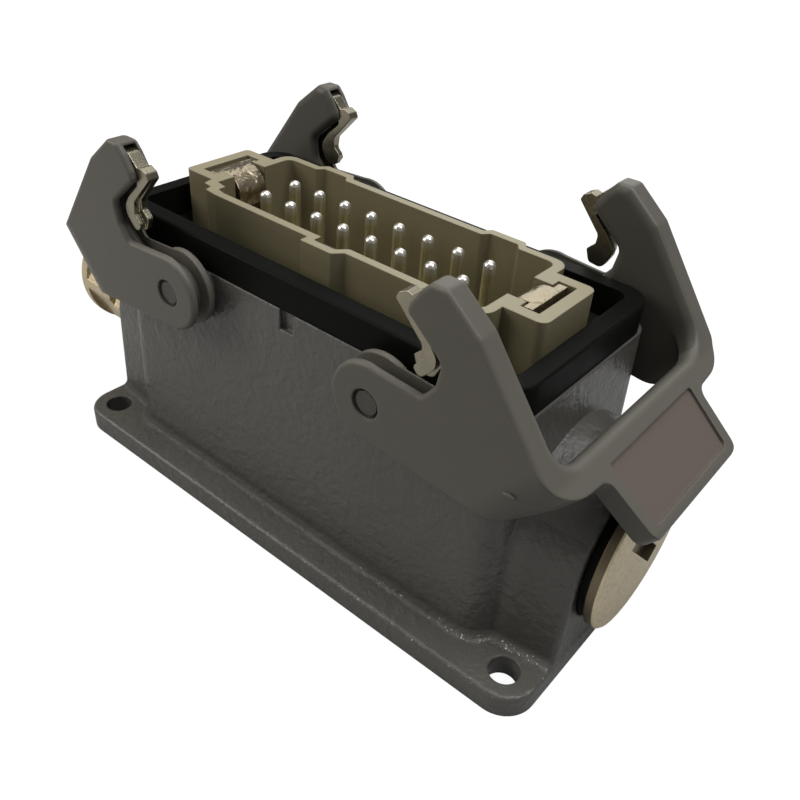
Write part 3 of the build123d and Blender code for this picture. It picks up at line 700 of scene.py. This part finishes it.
def flat_ellipsoid(centre, radii, rows=12, columns=20):
    """Closed ellipsoid: sines and cosines of a latitude and a longitude times the three radii, with a fan of
    triangles at each pole."""
    latitude = np.linspace(-np.pi / 2, np.pi / 2, rows)[1:-1, None]
    longitude = np.linspace(0.0, 2.0 * np.pi, columns, endpoint=False)[None, :]
    x = radii[0] * np.cos(latitude) * np.cos(longitude)
    z = radii[2] * np.cos(latitude) * np.sin(longitude)
    y = radii[1] * np.sin(latitude) + np.zeros_like(x)
    body = np.stack([x, y, z], axis=2).reshape(-1, 3)
    poles = np.array([[0.0, -radii[1], 0.0], [0.0, radii[1], 0.0]])
    points = np.concatenate([body, poles]) + np.array(centre)
    rings = rows - 2
    row, column = np.meshgrid(np.arange(rings - 1), np.arange(columns), indexing="ij")
    here = row * columns
    above = here + columns
    following = (column + 1) % columns
    corners = [here + column, above + column, above + following, here + following]
    quads = np.stack(corners, axis=2).reshape(-1, 4)
    edge = np.arange(columns)
    after = (edge + 1) % columns
    low = np.stack([np.full(columns, len(body)), edge, after], axis=1)
    top_row = (rings - 1) * columns
    high = np.stack([np.full(columns, len(body) + 1), top_row + after, top_row + edge], axis=1)
    return points, quads.tolist() + low.tolist() + high.tolist()


class CONNECTOR_OT_effects(bpy.types.Operator):
    """Build the shared surface effects that the finishes use"""

    bl_idname = "connector.effects"
    bl_label = "Surface effects"

    def execute(self, context):
        build_rounded_edges()
        build_dimpled_coat()
        build_mottling()
        build_specks()
        build_drawn_grain()
        return {"FINISHED"}


class CONNECTOR_OT_housing(bpy.types.Operator):
    """Coat the cast housing and finish its rubber parts"""

    bl_idname = "connector.housing"
    bl_label = "Housing and rubber"

    def execute(self, context):
        settings = context.scene.connector_finish
        dress("painted_casting", powder_coat(settings))
        dress("seal_rubber", moulded_rubber(settings))
        return {"FINISHED"}


class CONNECTOR_OT_insert(bpy.types.Operator):
    """Finish the pin insert, its contacts, screws and earth strips, and the spring plates of the levers"""

    bl_idname = "connector.insert"
    bl_label = "Insert and contacts"

    def execute(self, context):
        settings = context.scene.connector_finish
        dress("insert_plastic", insert_plastic(settings))
        dress("contact_silver", silver_plate(settings))
        dress("plated_steel", zinc_plate())
        rolled = drawn(0.15 * MILLIMETRE)
        dress("strip_steel", stamped_strip("Spring strip", settings.strip_colour, rolled, 0.012 * MILLIMETRE))
        beaten = dimples(3.5 * MILLIMETRE)
        bronze = stamped_strip("Earth strip", settings.bronze_colour, beaten, 0.5 * MILLIMETRE)
        for name in ("earth_strip_right", "earth_strip_left"):
            frame["nodes"][name].data.materials[0] = bronze
        return {"FINISHED"}


class CONNECTOR_OT_levers(bpy.types.Operator):
    """Finish the locking levers and their hinge pins, with the moulding gate left on the front arm"""

    bl_idname = "connector.levers"
    bl_label = "Locking levers"

    def execute(self, context):
        settings = context.scene.connector_finish
        plastic = lever_plastic(settings)
        dress("lever_plastic", plastic)
        dress("pin_steel", dark_pin())
        centre = (49.6 * MILLIMETRE, lever_low.y, 44.3 * MILLIMETRE)
        radii = (1.1 * MILLIMETRE, 0.26 * MILLIMETRE, 0.35 * MILLIMETRE)
        points, faces = flat_ellipsoid(centre, radii)
        new_piece("gate_mark", points, faces, plastic, "right_lever")
        return {"FINISHED"}


class CONNECTOR_OT_fittings(bpy.types.Operator):
    """Finish the plug and the cable gland, and cut the thread that shows on the gland's neck"""

    bl_idname = "connector.fittings"
    bl_label = "Entry fittings"

    def execute(self, context):
        details = context.scene.connector_details
        metal = nickel_plate(context.scene.connector_finish)
        dress("nickel_fitting", metal)
        points, faces = thread_surface(
            GLAND_NECK, -nut_high.x, details.thread_radius, details.thread_depth, details.thread_pitch
        )
        new_piece("gland_thread", points, faces, metal, "housing")
        return {"FINISHED"}


class CONNECTOR_OT_stage(bpy.types.Operator):
    """Set up the pale floor, the studio lamps, the surroundings and the camera"""

    bl_idname = "connector.stage"
    bl_label = "Stage"

    def execute(self, context):
        settings = context.scene.connector_stage
        context.scene.view_settings.view_transform = "Standard"
        pale_floor()
        pale_surroundings(settings.surround)
        softbox("Overhead lamp", location=(-0.1, 0.05, 1.1), size=0.9, power=settings.key_power)
        softbox("Right lamp", location=(0.55, 0.15, 1.0), size=0.5, power=settings.right_power)
        warm = (1.0, 0.955, 0.88)
        left_place = (-0.42, -0.36, 0.36)
        softbox("Left lamp", location=left_place, size=0.39, power=settings.left_power, colour=warm)
        softbox("Back lamp", location=(-0.35, 0.9, 0.55), size=0.8, power=settings.back_power)
        place_camera(settings)
        return {"FINISHED"}


def blend_greys(tree, mask, first, second):
    """Colour that changes from the first to the second where the mask is 1."""
    return add(tree, "Mix", {0: mask, 6: first, 7: second}, data_type="RGBA").outputs[2]


def floor_material():
    """Shaded floor: bright where the camera sees it, and darker in the light that it throws back."""
    thrown_back = 0.24
    mirrored = 0.5
    bright = 0.9
    glow = 1.06
    glow_share = 0.9
    material = bpy.data.materials.new("Pale floor")
    material.use_nodes = True
    tree = material.node_tree
    shader = tree.nodes["Principled BSDF"]
    shader.inputs["Roughness"].default_value = 0.8
    shader.inputs["Specular IOR Level"].default_value = 0.0
    path = add(tree, "LightPath").outputs
    unseen = blend_greys(tree, path["Is Glossy Ray"], grey(thrown_back), grey(mirrored))
    shade = blend_greys(tree, path["Is Camera Ray"], unseen, grey(bright))
    tree.links.new(shade, shader.inputs["Base Color"])
    white = add(tree, "Emission", {"Color": grey(1.0), "Strength": glow})
    share = calc(tree, "MULTIPLY", path["Is Camera Ray"], glow_share)
    mix = add(tree, "MixShader", {0: share, 1: shader.outputs[0], 2: white.outputs[0]})
    tree.links.new(mix.outputs[0], tree.nodes["Material Output"].inputs["Surface"])
    return material


def pale_floor():
    """Floor that stays almost white and keeps the object's shadow."""
    half = 3.0
    mesh = bpy.data.meshes.new("floor")
    corners = [(-half, -half, 0.0), (half, -half, 0.0), (half, half, 0.0), (-half, half, 0.0)]
    mesh.from_pydata(corners, [], [(0, 1, 2, 3)])
    mesh.materials.append(floor_material())
    floor = bpy.data.objects.new("floor", mesh)
    bpy.context.scene.collection.objects.link(floor)


def pale_surroundings(level):
    """Even grey light of one level that shows as white where the camera sees it."""
    world = bpy.data.worlds.new("Studio")
    bpy.context.scene.world = world
    world.use_nodes = True
    tree = world.node_tree
    background = tree.nodes["Background"]
    background.inputs["Color"].default_value = grey(1.0)
    seen = add(tree, "LightPath").outputs["Is Camera Ray"]
    strength = calc(tree, "MULTIPLY_ADD", seen, 1.0 - level, level)
    tree.links.new(strength, background.inputs["Strength"])


def softbox(name, location, size, power, colour=(1.0, 1.0, 1.0)):
    """Square area lamp that faces the middle of the object."""
    lamp = bpy.data.lights.new(name, "AREA")
    lamp.color = colour
    lamp.size = size
    lamp.energy = power
    holder = bpy.data.objects.new(name, lamp)
    target = Vector((0.0, 0.0, 30.0 * MILLIMETRE))
    direction = target - Vector(location)
    holder.location = location
    holder.rotation_euler = direction.to_track_quat("-Z", "Y").to_euler()
    bpy.context.scene.collection.objects.link(holder)


def place_camera(settings):
    """Camera at the photograph's place and angle."""
    data = bpy.data.cameras.new("Camera")
    data.sensor_width = 36.0
    data.lens = settings.lens
    data.shift_x, data.shift_y = CAMERA_SHIFT
    data.clip_start = 0.005
    data.clip_end = 20.0
    camera = bpy.data.objects.new("Camera", data)
    turn = Matrix.Rotation(settings.azimuth, 4, "Z")
    tip = Matrix.Rotation(math.pi / 2 - settings.elevation, 4, "X")
    roll = Matrix.Rotation(settings.roll, 4, "Z")
    camera.matrix_world = Matrix.Translation(CAMERA_PLACE) @ turn @ tip @ roll
    bpy.context.scene.collection.objects.link(camera)
    bpy.context.scene.camera = camera


class CONNECTOR_PT_panel(bpy.types.Panel):
    """Sidebar panel with the finishes, the details and the stage"""

    bl_idname = "CONNECTOR_PT_panel"
    bl_label = "Connector"
    bl_space_type = "VIEW_3D"
    bl_region_type = "UI"
    bl_category = "Connector"

    def draw(self, context):
        for group in ("connector_finish", "connector_details", "connector_stage"):
            settings = getattr(context.scene, group)
            box = self.layout.box()
            for name in settings.__annotations__:
                box.prop(settings, name)
        for operator in OPERATORS:
            self.layout.operator(operator.bl_idname)


OPERATORS = (
    CONNECTOR_OT_effects,
    CONNECTOR_OT_housing,
    CONNECTOR_OT_insert,
    CONNECTOR_OT_levers,
    CONNECTOR_OT_fittings,
    CONNECTOR_OT_stage,
)
CLASSES = (FinishSettings, DetailSettings, StageSettings) + OPERATORS + (CONNECTOR_PT_panel,)


def register():
    for item in CLASSES:
        bpy.utils.register_class(item)
    bpy.types.Scene.connector_finish = PointerProperty(type=FinishSettings)
    bpy.types.Scene.connector_details = PointerProperty(type=DetailSettings)
    bpy.types.Scene.connector_stage = PointerProperty(type=StageSettings)


def unregister():
    del bpy.types.Scene.connector_stage
    del bpy.types.Scene.connector_details
    del bpy.types.Scene.connector_finish
    for item in reversed(CLASSES):
        bpy.utils.unregister_class(item)


def main():
    register()
    bpy.ops.connector.effects()
    bpy.ops.connector.housing()
    bpy.ops.connector.insert()
    bpy.ops.connector.levers()
    bpy.ops.connector.fittings()
    bpy.ops.connector.stage()


if __name__ == "__main__":
    main()
